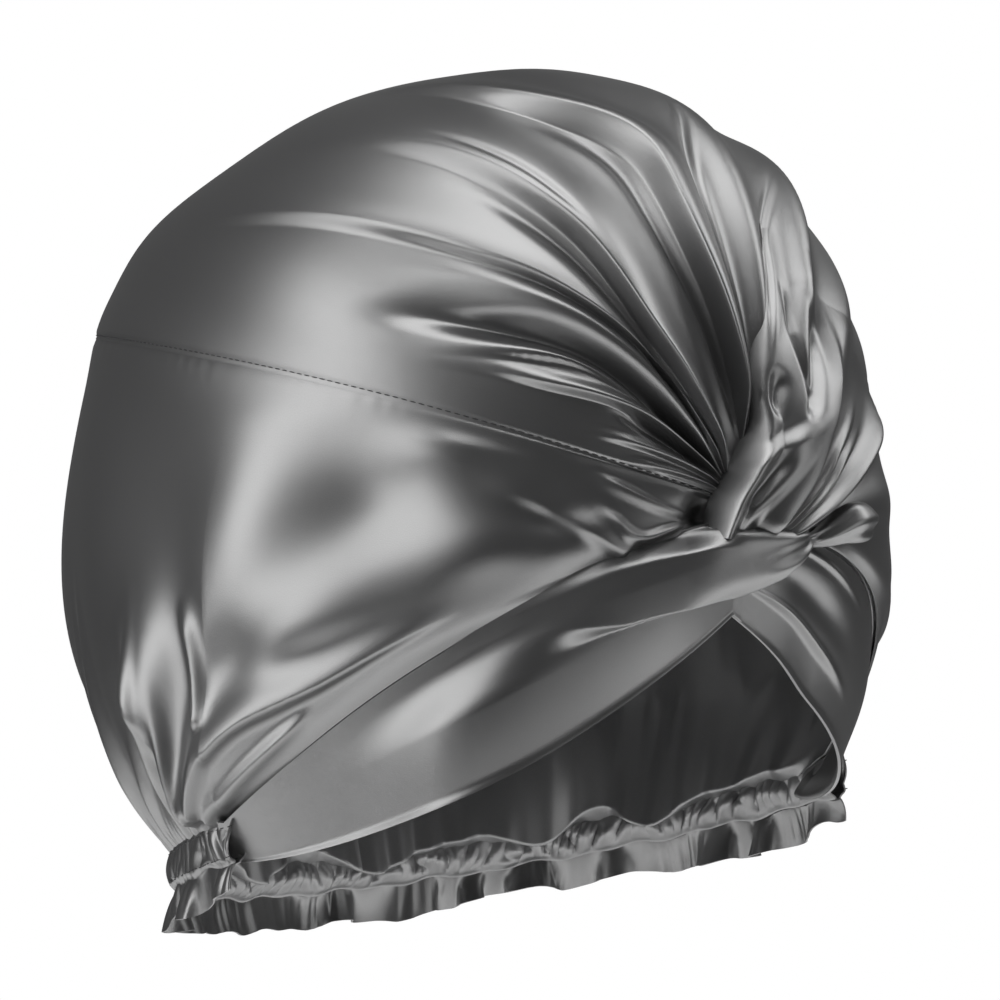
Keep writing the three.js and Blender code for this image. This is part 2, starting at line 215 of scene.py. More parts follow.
def sideBase(side, sweep, share):
    sine, cosine = np.sin(sweep), np.cos(sweep)
    top = crownBase(side * seamTurn, sweep) - np.array([0, 0, form["pieceGap"]])
    bottom = sideBottom(side, sweep)
    drop = np.linalg.norm(top - bottom, axis=-1, keepdims=True)
    rise = form["crownRise"] * (1 + form["forwardLean"] * cosine)
    leave = np.stack([side * form["halfWidth"] * math.cos(seamTurn) * sine, 0 * sine,
                      -rise * math.sin(seamTurn)], -1)
    leave = unit(leave) * drop * form["sideFullness"]
    towardsNape = easeFrom(sweep / earSweep, *form["napeTuckFrom"])
    tuck = mix(form["bandTuck"], form["napeTuck"], towardsNape)[..., None]
    inward = unit(bottom * np.array([-1, -1, 0]))
    arrive = (inward * tuck + np.array([0, 0, 1]) * (tuck - form["arrivalSteepness"])) * drop
    s = np.asarray(share)[..., None]
    rest = 1 - s
    return (top * (1 + 2 * s) * rest ** 2 + leave * s * rest ** 2
            + bottom * s ** 2 * (3 - 2 * s) - arrive * s ** 2 * rest)


def bandBase(side, share, down):
    top = bandSeam(side, share) - np.array([0, 0, form["pieceGap"]])
    return mix(top, faceEdge(side, share), np.asarray(down)[..., None])


# a grid of points turned into a thin closed cloth
domeMiddle = np.array([0, 0, 0.11])


def gridNormals(points):
    normals = unit(np.cross(np.gradient(points, axis=1), np.gradient(points, axis=0)))
    facing = ((points - domeMiddle) * normals).sum()
    return normals if facing > 0 else -normals


def addObject(name, data):
    item = bpy.data.objects.new(name, data)
    bpy.context.scene.collection.objects.link(item)
    return item


def meshPiece(name, points, faces, uv, material, smooth):
    mesh = bpy.data.meshes.new(name)
    mesh.from_pydata(points.tolist(), [], faces.tolist())
    mesh.polygons.foreach_set("use_smooth", smooth)
    layer = mesh.uv_layers.new(name="cloth")
    corners = np.empty(len(mesh.loops), np.int32)
    mesh.loops.foreach_get("vertex_index", corners)
    layer.data.foreach_set("uv", uv[corners].astype(np.float32).ravel())
    work = bmesh.new()
    work.from_mesh(mesh)
    bmesh.ops.remove_doubles(work, verts=work.verts, dist=1e-6)
    bmesh.ops.dissolve_degenerate(work, edges=work.edges, dist=1e-7)
    for rim in (face for face in work.faces if not face.smooth):
        for edge in rim.edges:
            edge.smooth = False
    work.to_mesh(mesh)
    work.free()
    mesh.materials.append(material)
    return addObject(name, mesh)


def clothPiece(name, outer, thickness, material, normals=None):
    rows, columns = outer.shape[:2]
    normals = gridNormals(outer) if normals is None else normals
    inner = outer - normals * thickness
    count = rows * columns
    index = np.arange(count).reshape(rows, columns)
    quads = np.stack([index[:-1, :-1], index[:-1, 1:], index[1:, 1:], index[1:, :-1]], -1).reshape(-1, 4)
    ring = np.concatenate([index[0, :-1], index[:-1, -1], index[-1, :0:-1], index[:0:-1, 0]])
    following = np.roll(ring, -1)
    rims = np.stack([following, ring, ring + count, following + count], -1)
    spread = np.cross(np.gradient(outer, axis=1), np.gradient(outer, axis=0))
    faces = np.concatenate([quads, quads[:, ::-1] + count, rims])
    if (spread * normals).sum() < 0:
        faces = faces[:, ::-1]
    middle = slice(columns // 2, columns // 2 + 1)
    across = np.linalg.norm(np.diff(outer, axis=1), axis=-1)
    down = np.linalg.norm(np.diff(outer, axis=0), axis=-1)
    u = np.pad(np.cumsum(across, 1), ((0, 0), (1, 0)))
    u = u - u[:, middle]
    v = np.pad(np.cumsum(down, 0), ((1, 0), (0, 0)))
    v = np.repeat(v[:, middle], columns, 1)
    uv = np.stack([u, v], -1).reshape(-1, 2)
    points = np.concatenate([outer.reshape(-1, 3), inner.reshape(-1, 3)])
    smooth = np.arange(len(faces)) < len(faces) - len(rims)
    return meshPiece(name, points, faces, np.concatenate([uv, uv]), material, smooth)


# satin and thread materials; the lining satin's colour is painted lighter than the outside satin's, as painted light
# inside the bonnet
satinLook = {
    "grainPerMetre": (2600, 4200, 1),
    "grainStops": (0.3, 0.7),
    "grainBump": 0.00008,
    "refraction": 2.2,
    "crossShine": 0.35,
    "sheen": 0.04,
    "sheenRoughness": 0.5,
    "outside": {"dark": (0.016, 0.016, 0.017), "light": (0.042, 0.042, 0.044), "roughness": 0.34},
    # lining: the same charcoal satin with its colour painted about four times lighter, as painted light where the
    # lamps barely reach inside
    "lining": {"dark": (0.095, 0.095, 0.098), "light": (0.16, 0.16, 0.164), "roughness": 0.38},
}
threadLook = {
    "roughness": 0.55,
    "twistShade": 0.6,
    "twistBump": 0.0001,
    "sewing": {"colour": (0.05, 0.05, 0.053), "twistsPerMetre": 900},
    "elastic": {"colour": (0.12, 0.12, 0.125), "twistsPerMetre": 350},
}


def node(tree, kind, **inputs):
    made = tree.nodes.new(kind)
    for key, value in inputs.items():
        made.inputs[key.replace("_", " ")].default_value = value
    return made


def join(tree, source, output, target, entry):
    tree.links.new(source.outputs[output], target.inputs[entry])


def newMaterial(name, roughness):
    material = bpy.data.materials.new(name)
    material.use_nodes = True
    shader = material.node_tree.nodes["Principled BSDF"]
    shader.inputs["Roughness"].default_value = roughness
    return material, material.node_tree, shader


def colourByPattern(tree, shader, pattern, colours, stops, bumpHeight):
    ramp = tree.nodes.new("ShaderNodeValToRGB")
    for element, colour, stop in zip(ramp.color_ramp.elements, colours, stops):
        element.position = stop
        element.color = (*colour, 1)
    bump = node(tree, "ShaderNodeBump", Strength=0.5, Distance=bumpHeight)
    join(tree, pattern, "Fac", ramp, "Fac")
    join(tree, ramp, "Color", shader, "Base Color")
    join(tree, pattern, "Fac", bump, "Height")
    join(tree, bump, "Normal", shader, "Normal")


def satinMaterial(name, shade):
    material, tree, shader = newMaterial(name, shade["roughness"])
    shader.inputs["IOR"].default_value = satinLook["refraction"]
    shader.inputs["Specular IOR Level"].default_value = 1.0
    shader.inputs["Anisotropic"].default_value = satinLook["crossShine"]
    shader.inputs["Sheen Weight"].default_value = satinLook["sheen"]
    shader.inputs["Sheen Roughness"].default_value = satinLook["sheenRoughness"]
    coords = tree.nodes.new("ShaderNodeTexCoord")
    stretch = node(tree, "ShaderNodeMapping", Scale=satinLook["grainPerMetre"])
    grain = node(tree, "ShaderNodeTexNoise", Scale=1.0, Detail=3.0)
    join(tree, coords, "UV", stretch, "Vector")
    join(tree, stretch, "Vector", grain, "Vector")
    colourByPattern(tree, shader, grain, (shade["dark"], shade["light"]), satinLook["grainStops"],
                    satinLook["grainBump"])
    return material


def threadMaterial(name, yarn):
    material, tree, shader = newMaterial(name, threadLook["roughness"])
    coords = tree.nodes.new("ShaderNodeTexCoord")
    twist = node(tree, "ShaderNodeTexWave", Scale=yarn["twistsPerMetre"], Distortion=1.0)
    join(tree, coords, "Object", twist, "Vector")
    shaded = [part * threadLook["twistShade"] for part in yarn["colour"]]
    colourByPattern(tree, shader, twist, (shaded, yarn["colour"]), (0, 1), threadLook["twistBump"])
    return material


satin = satinMaterial("charcoal satin", satinLook["outside"])
# the lining copy is a lighter-painted copy of the satin: painted light for the inside of the bonnet and the casing's
# inside
liningSatinPaintedLighter = satinMaterial("charcoal satin lining painted lighter", satinLook["lining"])
thread = threadMaterial("grey sewing thread", threadLook["sewing"])
rubber = threadMaterial("covered elastic", threadLook["elastic"])
print("materials made")


# crown: folds run out of the twist, and the steep side of each faces right. path is (sweep, turn) in degrees,
# start and end give where a fade begins and how long it is, and heights and depths are in mm throughout.
# the numbers inside sines only keep waves irregular, here and below
crownCloth = {
    "rows": 112,
    "thickness": 0.0005,
    "cut": (0.31, 0.30),
    "folds": [
        {"path": [(4, 2), (12, 0), (22, -2), (31, -4), (38, -4), (46, -3), (52, -6), (58, -11), (66, -15), (84, -18)],
         "steep": 2.0, "gentle": 11, "height": 8.0, "start": (5, 10), "end": (44, 50)},
        {"path": [(4, -38), (7, -36), (17, -32), (24, -32), (30, -30), (38, -29), (45, -30), (66, -32), (90, -36)],
         "steep": 2.2, "gentle": 14, "height": 7.0, "start": (3, 8), "end": (30, 62)},
        {"path": [(4, -42), (8, -40), (18, -35), (24, -37), (31, -40), (40, -43), (48, -46), (59, -48), (85, -52)],
         "steep": 1.3, "gentle": 9, "height": 3.8, "start": (3, 6), "end": (44, 60)},
        {"path": [(18, -50), (29, -52), (36, -58), (44, -62), (56, -66)],
         "steep": 2.4, "gentle": 4, "height": 2.6, "start": (14, 8), "end": (34, 18)},
        {"path": [(4, -51), (16, -52), (22, -56), (32, -62), (41, -64), (56, -68)],
         "steep": 2.4, "gentle": 3.5, "height": 3.0, "start": (3, 5), "end": (24, 28)},
        {"path": [(3, -58), (10, -62), (16, -65), (30, -71)],
         "steep": 2.6, "gentle": 3, "height": 2.4, "start": (3, 4), "end": (12, 16)},
        {"path": [(3, -66), (10, -69), (20, -74)],
         "steep": 2.6, "gentle": 3, "height": 2.0, "start": (3, 4), "end": (10, 12)},
    ],
    "rolls": [
        {"path": [(4, -44), (18, -40), (31, -44), (40, -48), (59, -54), (70, -56)],
         "halfWidth": 4.5, "height": 3.5, "start": (4, 8), "end": (30, 32)},
        {"path": [(4, -46), (12, -48), (18, -48.5), (26, -49), (34, -52), (44, -57), (60, -63)],
         "halfWidth": 3.8, "height": -6.0, "start": (4, 8), "end": (36, 26)},
        {"path": [(6, -54), (16, -58), (26, -59)],
         "halfWidth": 3.4, "height": -4.5, "start": (5, 5), "end": (16, 8)},
        {"path": [(4, 9), (11, 11), (17, 8), (27, 6), (41, 6), (50, 10), (58, 14), (70, 17)],
         "halfWidth": 1.5, "height": -2.4, "start": (4, 6), "end": (44, 22)},
        {"path": [(16, 16), (29, 22), (36, 23), (48, 30), (60, 36)],
         "halfWidth": 1.6, "height": -2.2, "start": (10, 10), "end": (36, 20)},
        {"path": [(40, -27.5), (43, -28), (48, -28), (63, -30), (70, -31)],
         "halfWidth": 1.1, "height": -0.8, "start": (38, 8), "end": (54, 14)},
        {"path": [(4, -3), (12, -5), (22, -7), (31, -9), (38, -9), (46, -8), (52, -11), (66, -20)],
         "halfWidth": 3.6, "height": -3.6, "start": (8, 10), "end": (40, 24)},
        {"path": [(17, -36.5), (30, -34.5), (38, -33.5), (45, -34.5), (66, -37)],
         "halfWidth": 3.2, "height": -2.6, "start": (12, 10), "end": (38, 24)},
        {"path": [(0, 17), (90, 17)], "halfWidth": 7, "height": 4.0, "start": (10, 12), "end": (40, 52)},
        {"path": [(0, 34), (90, 38)], "halfWidth": 7, "height": 5.0, "start": (10, 12), "end": (36, 56)},
        {"path": [(0, 54), (90, 56)], "halfWidth": 8, "height": 4.0, "start": (10, 12), "end": (36, 52)},
    ],
    "softness": 1.1,
    "softLengths": (9, 12),
    "softFrom": (15, 40),
    "softUntil": (178, 30),
    "softBesideSeam": 12,
    "steepGrowth": 1.9,
    "steepFrom": (35, 40),
    "firstSweep": 1.2,
    "rowCrowding": 1.25,
    "pastSeam": 0.45,
    "gridColumns": (62, 56, 10, 26, 12, 60, 12, 26, 12, 30, 90),
}
crownSeam = {
    "pucker": 0.04,
    "dip": 0.5,
    "crownWidths": (4, 1.2),
    "sideWidths": (0.05, 0.014),
}


def seamDrawn(lift, sweepDeg, fromSeam, widths):
    pull = np.sin(sweepDeg * 2.1 + 1.7 * np.sin(sweepDeg * 0.37)) * (0.5 + 0.5 * np.sin(sweepDeg * 0.23 + 1))
    pucker = crownSeam["pucker"] * mm * pull * bell(fromSeam, widths[0])
    return lift + pucker - crownSeam["dip"] * mm * bell(fromSeam, widths[1])


def steepening(sweepDeg):
    return mix(1, crownCloth["steepGrowth"], easeFrom(sweepDeg, *crownCloth["steepFrom"]))


def fadeAlong(fold, sweepDeg):
    return easeFrom(sweepDeg, *fold["start"]) * (1 - easeFrom(sweepDeg, *fold["end"]))


def crownLift(turn, sweep):
    turnDeg, sweepDeg = np.degrees(turn), np.degrees(sweep)
    lift = 0 * turn
    for fold in crownCloth["folds"]:
        offset = turnDeg - softPath(fold["path"], sweepDeg)
        steep = fold["steep"] * steepening(sweepDeg)
        profile = np.where(offset > 0, bell(offset, fold["gentle"]), ease(1 + offset / steep))
        lift = lift + fold["height"] * mm * profile * fadeAlong(fold, sweepDeg)
    for roll in crownCloth["rolls"]:
        offset = turnDeg - softPath(roll["path"], sweepDeg)
        lift = lift + roll["height"] * mm * bell(offset, roll["halfWidth"]) * fadeAlong(roll, sweepDeg)
    fromSeam = form["seamTurn"] - np.abs(turnDeg)
    calm = easeFrom(sweepDeg, *crownCloth["softFrom"]) * ease(fromSeam / crownCloth["softBesideSeam"])
    calm = calm * easeUntil(sweepDeg, *crownCloth["softUntil"])
    turnLength, sweepLength = crownCloth["softLengths"]
    lift = lift + crownCloth["softness"] * mm * softWave(turnDeg / turnLength, sweepDeg / sweepLength, 4) * calm
    return seamDrawn(lift, sweepDeg, fromSeam, crownSeam["crownWidths"])


# columns crowd where the folds and the two thin grooves are steep
crowded = np.linspace(0, 1, crownCloth["rows"]) ** crownCloth["rowCrowding"]
rowSweeps = math.radians(crownCloth["firstSweep"]) + math.radians(180 - crownCloth["firstSweep"]) * crowded
rowDeg = np.degrees(rowSweeps)
edge = 0 * rowDeg + form["seamTurn"] + crownCloth["pastSeam"]
foldLines = [softPath(fold["path"], rowDeg) for fold in crownCloth["folds"][:5]]
groove, nextGroove = (softPath(roll["path"], rowDeg) for roll in crownCloth["rolls"][3:5])
grooveWidth = crownCloth["rolls"][3]["halfWidth"]
guides = [-edge, foldLines[4]]
for index in (2, 1, 0):
    guides += [foldLines[index] - crownCloth["folds"][index]["steep"] * steepening(rowDeg), foldLines[index]]
guides += [groove - grooveWidth, groove + grooveWidth, nextGroove, edge]
spans = [mix(low[:, None], high[:, None], np.linspace(0, 1, count, endpoint=False))
         for low, high, count in zip(guides, guides[1:], crownCloth["gridColumns"])]
turnGrid = np.radians(np.concatenate(spans + [edge[:, None]], 1))
sweepGrid = np.repeat(rowSweeps[:, None], turnGrid.shape[1], 1)
crownNormals = crownNormal(turnGrid, sweepGrid)
crownPoints = raised(crownBase(turnGrid, sweepGrid), crownNormals, crownLift(turnGrid, sweepGrid))
crownPiece = clothPiece("crown_cloth", crownPoints, crownCloth["thickness"], satin, crownNormals)
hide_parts("crown_panel")
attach(crownPiece, "crown")
print("crown cloth made")


# nape hem: one line of gathers for the side panels' lower edge, the casing and the ruffle
hemCloth = {
    "columns": 1000,
    "casingRows": 26,
    "ruffleRows": 26,
    "thickness": 0.0005,
    "pastEar": 0.012,
    "earCrowding": 0.6,
    "inside": 0.0008,
    "standOff": 0.6,
    "pleats": (37, 73),
    "outsideDepths": (1.7, 1.0),
    "insideDepths": (3.0, 1.4),
    "pleatSlant": 0.011,
    "pleatWiggle": 0.004,
    "pleatDrift": 1.5,
    "pleatUneven": 0.3,
    "pleatAtEdges": 0.5,
    "crumple": 0.8,
    "edgeWander": 0.9,
    "pinch": 0.16,
    "waist": (0.5, 0.4),
    "insideWaist": 0.2,
    "lobes": 14,
    "ruffleSwing": 4.6,
    "ruffleCurl": 1.6,
    "ruffleUneven": 1.8,
    "ruffleFlare": 0.8,
    "fullness": (0.8, 0.3),
    "ruffleEnds": (0.09, 0.06),
    "endFullness": 0.4,
    "endLength": 0.7,
    "ruffleCalm": {"at": 0.37, "halfWidth": 0.16, "by": 0.85, "lean": -3},
    "casingCut": (0.44, 0.013),
    "innerCut": (0.40, 0.013),
    "ruffleCut": (0.46, 0.0105),
}
hemLength = math.pi * hemHalfWidth


def pleats(share, part, depths, seed):
    rng = np.random.default_rng(seed)
    depth = 0
    for count, height in zip(hemCloth["pleats"], depths):
        slant, curve, near, far = rng.uniform(0, 2 * math.pi, 4)
        bend = hemCloth["pleatSlant"] * part * np.sin(share * 53 + slant)
        bend = bend + hemCloth["pleatWiggle"] * np.sin(part * 5 + share * 90 + curve)
        drift = hemCloth["pleatDrift"] * np.sin(share * 23 + near) + np.sin(share * 61 + far)
        wave = np.sin(2 * math.pi * count * (share + bend) + drift)
        uneven = 1 - hemCloth["pleatUneven"] + hemCloth["pleatUneven"] * np.sin(share * 37 + slant + 2 * part)
        depth = depth + height * mm * uneven * np.sqrt(0.5 + 0.5 * wave)
    return depth


def casingOut(share, part):
    puff = np.sin(math.pi * part)
    depth = pleats(share, part, hemCloth["outsideDepths"], 3)
    return hemCloth["inside"] + hemCloth["standOff"] * mm + depth * mix(hemCloth["pleatAtEdges"], 1, puff)


# side panels: a smooth front part, and a back part that gathers into the nape hem.
# path is (sweep in degrees, share of the way down), and a swell is sweep, share, its two half widths and height.
# a value that ends in PastEar says how soon a form comes in behind the ear
sideCloth = {
    "frontColumns": 190,
    "backColumns": 250,
    "rows": 120,
    "thickness": 0.0005,
    "frontCut": (0.13, 0.09),
    "backCut": (0.26, 0.16),
    "firstSweep": 4,
    "hemFolds": 13,
    "foldDepth": 5.0,
    "foldReach": (0.52, 0.14),
    "foldRise": 0.42,
    "foldSharpness": 1.4,
    "foldSunk": 0.25,
    "foldsPastEar": 14,
    "hemRise": 0.2,
    "hemPastEar": 30,
    "tuckDepth": 0.0045,
    "tuckOut": 0.0004,
    "bend": (0.0242, 0.0403),
    "softness": 0.9,
    "edgeFades": (0.12, 0.1),
    "backFade": 25,
    "foldSteps": 48,
    "foldScale": (1.9, 95),
    "foldEnds": (0.3, 0.12),
    "folds": {
        right: [
            {"path": [(95, 0.535), (88.5, 0.685), (84.5, 0.825), (83.5, 0.9), (82.5, 0.98)],
             "behind": 9, "ahead": 4, "height": 3.6},
            {"path": [(79.5, 0.45), (78, 0.56), (77, 0.66), (76.5, 0.76)], "behind": 5, "ahead": 2.5, "height": 2.4},
            {"path": [(40, 0.83), (50, 0.84), (58, 0.84), (64, 0.82), (69, 0.8), (72.5, 0.8), (75.5, 0.82),
                      (78, 0.87), (80, 0.93), (81, 0.985)], "behind": 2.6, "ahead": 9, "height": 4.2},
            {"path": [(60, 0.905), (64, 0.915), (70.5, 0.925), (74, 0.935), (77.5, 0.955), (79, 0.985)],
             "behind": 3.5, "ahead": 3.5, "height": 1.8},
            {"path": [(40, 0.2), (30.5, 0.355), (24, 0.56), (20.5, 0.76), (18, 0.95)],
             "behind": 6, "ahead": 2.6, "height": 2.2, "scale": (2.2, 26)},
            {"path": [(24, 0.36), (20.5, 0.515), (18.5, 0.66), (16, 0.74), (13, 0.7), (9.5, 0.6)],
             "behind": 2.4, "ahead": 2.4, "height": 1.7, "scale": (2.2, 26)},
            {"path": [(25, 0.1), (19, 0.22), (14, 0.36), (9, 0.5)],
             "behind": 2.0, "ahead": 3.4, "height": 1.6, "scale": (2.2, 26)},
        ],
        left: [
            {"path": [(97, 0.5), (90, 0.67), (85.5, 0.8), (84, 0.9), (83, 0.98)],
             "behind": 4, "ahead": 9, "height": 3.4},
            {"path": [(44, 0.82), (54, 0.84), (62, 0.83), (70, 0.8), (75, 0.83), (79, 0.9), (81, 0.985)],
             "behind": 9, "ahead": 3, "height": 3.6},
        ],
    },
    "swells": {
        right: [(71, 0.34, 8, 0.17, 3.0), (53, 0.34, 8, 0.15, -3.2), (61, 0.62, 9, 0.12, 2.2),
                (38, 0.55, 8, 0.16, 2.4), (29, 0.42, 5, 0.16, -2.2), (44, 0.12, 7, 0.1, 1.6),
                (88, 0.62, 6, 0.14, 3.6), (97, 0.7, 5, 0.16, -2.4), (80, 0.62, 4.5, 0.16, -2.6),
                (104, 0.4, 9, 0.2, 1.4), (128, 0.5, 15, 0.26, 4.2), (72, 0.64, 5, 0.1, -2.6),
                (6.5, 0.45, 2.6, 0.35, -5.5), (130, 0.8, 20, 0.14, -3.0)],
        left: [(66, 0.4, 9, 0.18, 3.0), (50, 0.35, 8, 0.16, -3.0), (36, 0.5, 8, 0.18, 3.0),
               (85, 0.6, 7, 0.16, 3.2), (98, 0.65, 6, 0.16, -2.6), (118, 0.45, 9, 0.2, 2.2),
               (140, 0.5, 9, 0.2, -2.0), (64, 0.82, 14, 0.2, -5.0)],
    },
}


def foldAlong(fold, sweepDeg, share):
    scale = np.array(fold.get("scale", sideCloth["foldScale"]))
    line = smoothPath(fold["path"], np.linspace(0, 1, sideCloth["foldSteps"])) * scale
    place = np.stack([sweepDeg, share], -1) * scale
    nearest, sideOf, way = np.full(share.shape, 1e9), 0 * share, 0 * share
    for index in range(len(line) - 1):
        step = line[index + 1] - line[index]
        t = np.clip((place - line[index]) @ step / (step @ step), 0, 1)
        gap = place - line[index] - t[..., None] * step
        distance = np.hypot(gap[..., 0], gap[..., 1])
        closer = distance < nearest
        nearest = np.where(closer, distance, nearest)
        sideOf = np.where(closer, step[0] * gap[..., 1] - step[1] * gap[..., 0], sideOf)
        way = np.where(closer, (index + t) / (len(line) - 1), way)
    width = np.where(sideOf > 0, fold["behind"], fold["ahead"])
    first, last = sideCloth["foldEnds"]
    return fold["height"] * mm * bell(nearest, width) * ease(way / first) * ease((1 - way) / last)


def sideLift(side, sweep, share):
    sweepDeg = np.degrees(sweep)
    back = behindEar(sweep)
    apart = side * (1 - back)
    swing = 0.9 * np.sin(back * 17 + apart) + 0.6 * np.sin(back * 41 + 2)
    wave = 0.5 + 0.5 * np.sin(2 * math.pi * sideCloth["hemFolds"] * back + swing * 1.6)
    reach, reachSwing = sideCloth["foldReach"]
    reach = reach + reachSwing * np.sin(back * 31 + 0.6 * apart)
    rising = easeFrom(share, reach, sideCloth["foldRise"]) * ease(back * sideCloth["foldsPastEar"])
    lift = sideCloth["foldDepth"] * mm * (wave ** sideCloth["foldSharpness"] - sideCloth["foldSunk"]) * rising
    toHem = easeFrom(share, 1 - sideCloth["hemRise"], sideCloth["hemRise"])
    lift = mix(lift, casingOut(hemShareAt(side, back), 0 * back), toHem * ease(back * sideCloth["hemPastEar"]))
    seamFade = ease(share / sideCloth["edgeFades"][0]) * ease((1 - share) / sideCloth["edgeFades"][1])
    lift = lift + (sideCloth["softness"] * mm * softWave(sweepDeg / 7, share * 12, 11 + side)
                   * seamFade * easeUntil(sweepDeg, 180, sideCloth["backFade"]))
    for sweepAt, shareAt, sweepWide, shareWide, height in sideCloth["swells"][side]:
        place = ((sweepDeg - sweepAt) / sweepWide) ** 2 + ((share - shareAt) / shareWide) ** 2
        lift = lift + height * mm * np.exp(-place) * seamFade
    for fold in sideCloth["folds"][side]:
        lift = lift + foldAlong(fold, sweepDeg, share)
    return seamDrawn(lift, sweepDeg, share, crownSeam["sideWidths"])


def sideGrid(columns, rows):
    sweeps = np.linspace(math.radians(sideCloth["firstSweep"]), math.pi, columns)
    return gridOver(sweeps, rows)


# the edge column at the centre back takes its neighbour's normals
def sideNormals(base):
    normals = gridNormals(base)
    normals[:, -1] = normals[:, -2]
    return normals


for side, sideName in sides:
    sweep, share = sideGrid(sideCloth["frontColumns"] + sideCloth["backColumns"] - 1, sideCloth["rows"])
    base = sideBase(side, sweep, share)
    points = raised(base, sideNormals(base), sideLift(side, sweep, share))
    fine = gridNormals(points)
    split = int(np.searchsorted(sweep[0], earSweep))
    hemLine = hemShareAt(side, behindEar(sweep[0, split:]))
    tuck = hemPoint(hemLine, sideCloth["tuckDepth"], sideCloth["tuckOut"] + 0 * hemLine)
    front = clothPiece(f"side_cloth_front_{sideName}", points[:, :split + 1], sideCloth["thickness"], satin,
                       fine[:, :split + 1])
    backPart = clothPiece(f"side_cloth_back_{sideName}", np.concatenate([points[:, split:], tuck[None]]),
                          sideCloth["thickness"], satin, np.concatenate([fine[:, split:], hemOut(hemLine)[None]]))
    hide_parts(f"side_panel_{sideName}")
    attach(front, "crown")
    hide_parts(f"side_panel_{sideName}")
    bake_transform(backPart)
print("side cloth made")


# linings, which sag inwards over the nape casing, bulge there and tuck in behind it
liningCloth = {
    "crownRows": 50,
    "crownColumns": 90,
    "sideColumns": 260,
    "sideRows": 84,
    "thickness": 0.0005,
    "depth": 0.0007,
    "crownDip": 0.9,
    "standIn": 3.0,
    "standFrom": (0.3, 0.3),
    "standEnd": 0.08,
    "standPastEar": 6,
    "sag": 9.0,
    "sagWave": 0.35,
    "sagUneven": 6.5,
    "sagFrom": (0.45, 0.35),
    "sagEnd": 0.14,
    "sagPastEar": 3,
    "dentEnd": 0.1,
    "bulgeFrom": (0.8, 0.13),
    "lobeDrop": (2.2, 3.6),
    "lobeIn": (7, 1.8),
    "tucks": 27,
    "tuckWave": 1.1,
    "tuckDepth": 4.0,
    "tuckIn": 0.3,
    "tuckFrom": (0.93, 0.07),
    "tuckPastEar": 8,
    "crownCut": (0.27, 0.27),
    "sideCut": (0.33, 0.15),
}
liningDepth = form["layerGap"] + liningCloth["depth"]
liningSweeps = np.linspace(math.radians(sideCloth["firstSweep"]), math.pi, liningCloth["crownRows"])
liningTurn, liningSweep = np.meshgrid(np.linspace(-seamTurn, seamTurn, liningCloth["crownColumns"]), liningSweeps)
liningNormals = crownNormal(liningTurn, liningSweep)
wave = softWave(np.degrees(liningTurn) / 11, np.degrees(liningSweep) / 14, 7)
dip = liningCloth["crownDip"] * mm * (1 + wave)
outward = np.minimum(crownLift(liningTurn, liningSweep), 0) - liningDepth - dip
crownLiningPoints = raised(crownBase(liningTurn, liningSweep), liningNormals, outward)
crownLining = clothPiece("crown_lining_cloth", crownLiningPoints, liningCloth["thickness"], liningSatinPaintedLighter,
                         liningNormals)
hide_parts("crown_lining")
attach(crownLining, "crown")

for side, sideName in sides:
    sweep, share = sideGrid(liningCloth["sideColumns"], liningCloth["sideRows"])
    base = sideBase(side, sweep, share)
    back = behindEar(sweep)
    hang = ease(back * liningCloth["sagPastEar"]) * easeFrom(share, *liningCloth["sagFrom"])
    hang = hang * ease((1 - share) / liningCloth["sagEnd"])
    sag = liningCloth["sag"] * mm * (1 + liningCloth["sagWave"] * np.sin(back * 21 + side)) * hang
    sag = sag + liningCloth["sagUneven"] * mm * softWave(np.degrees(sweep) / 9, share * 6, 17 + side) * hang
    standIn = liningCloth["standIn"] * mm * ease(back * liningCloth["standPastEar"])
    standIn = standIn * easeFrom(share, *liningCloth["standFrom"]) * ease((1 - share) / liningCloth["standEnd"])
    depth = liningDepth + standIn + sag
    dents = np.minimum(sideLift(side, sweep, share), 0) * ease((1 - share) / liningCloth["dentEnd"])
    points = raised(base, sideNormals(base), dents - depth)
    hemLine = hemShareAt(side, back)
    lobe = softWave(hemLine * 60, 0 * back, 41)
    tucks = np.sin(2 * math.pi * liningCloth["tucks"] * hemLine + 1.5 * np.sin(hemLine * 23))
    (drop, lobeDrop), (inward, lobeIn) = liningCloth["lobeDrop"], liningCloth["lobeIn"]
    bulge = hemPoint(hemLine, (drop + lobeDrop * lobe) * mm,
                     (-inward - lobeIn * lobe + liningCloth["tuckWave"] * tucks) * mm)
    tucked = hemPoint(hemLine, liningCloth["tuckDepth"] * mm + 0 * back, -liningCloth["tuckIn"] * mm + 0 * back)
    for place, start in ((bulge, liningCloth["bulgeFrom"]), (tucked, liningCloth["tuckFrom"])):
        points = mix(points, place, (easeFrom(share, *start) * ease(back * liningCloth["tuckPastEar"]))[..., None])
    lining = clothPiece(f"side_lining_cloth_{sideName}", points, liningCloth["thickness"], liningSatinPaintedLighter)
    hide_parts(f"side_lining_{sideName}")
    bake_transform(lining)
print("linings made")


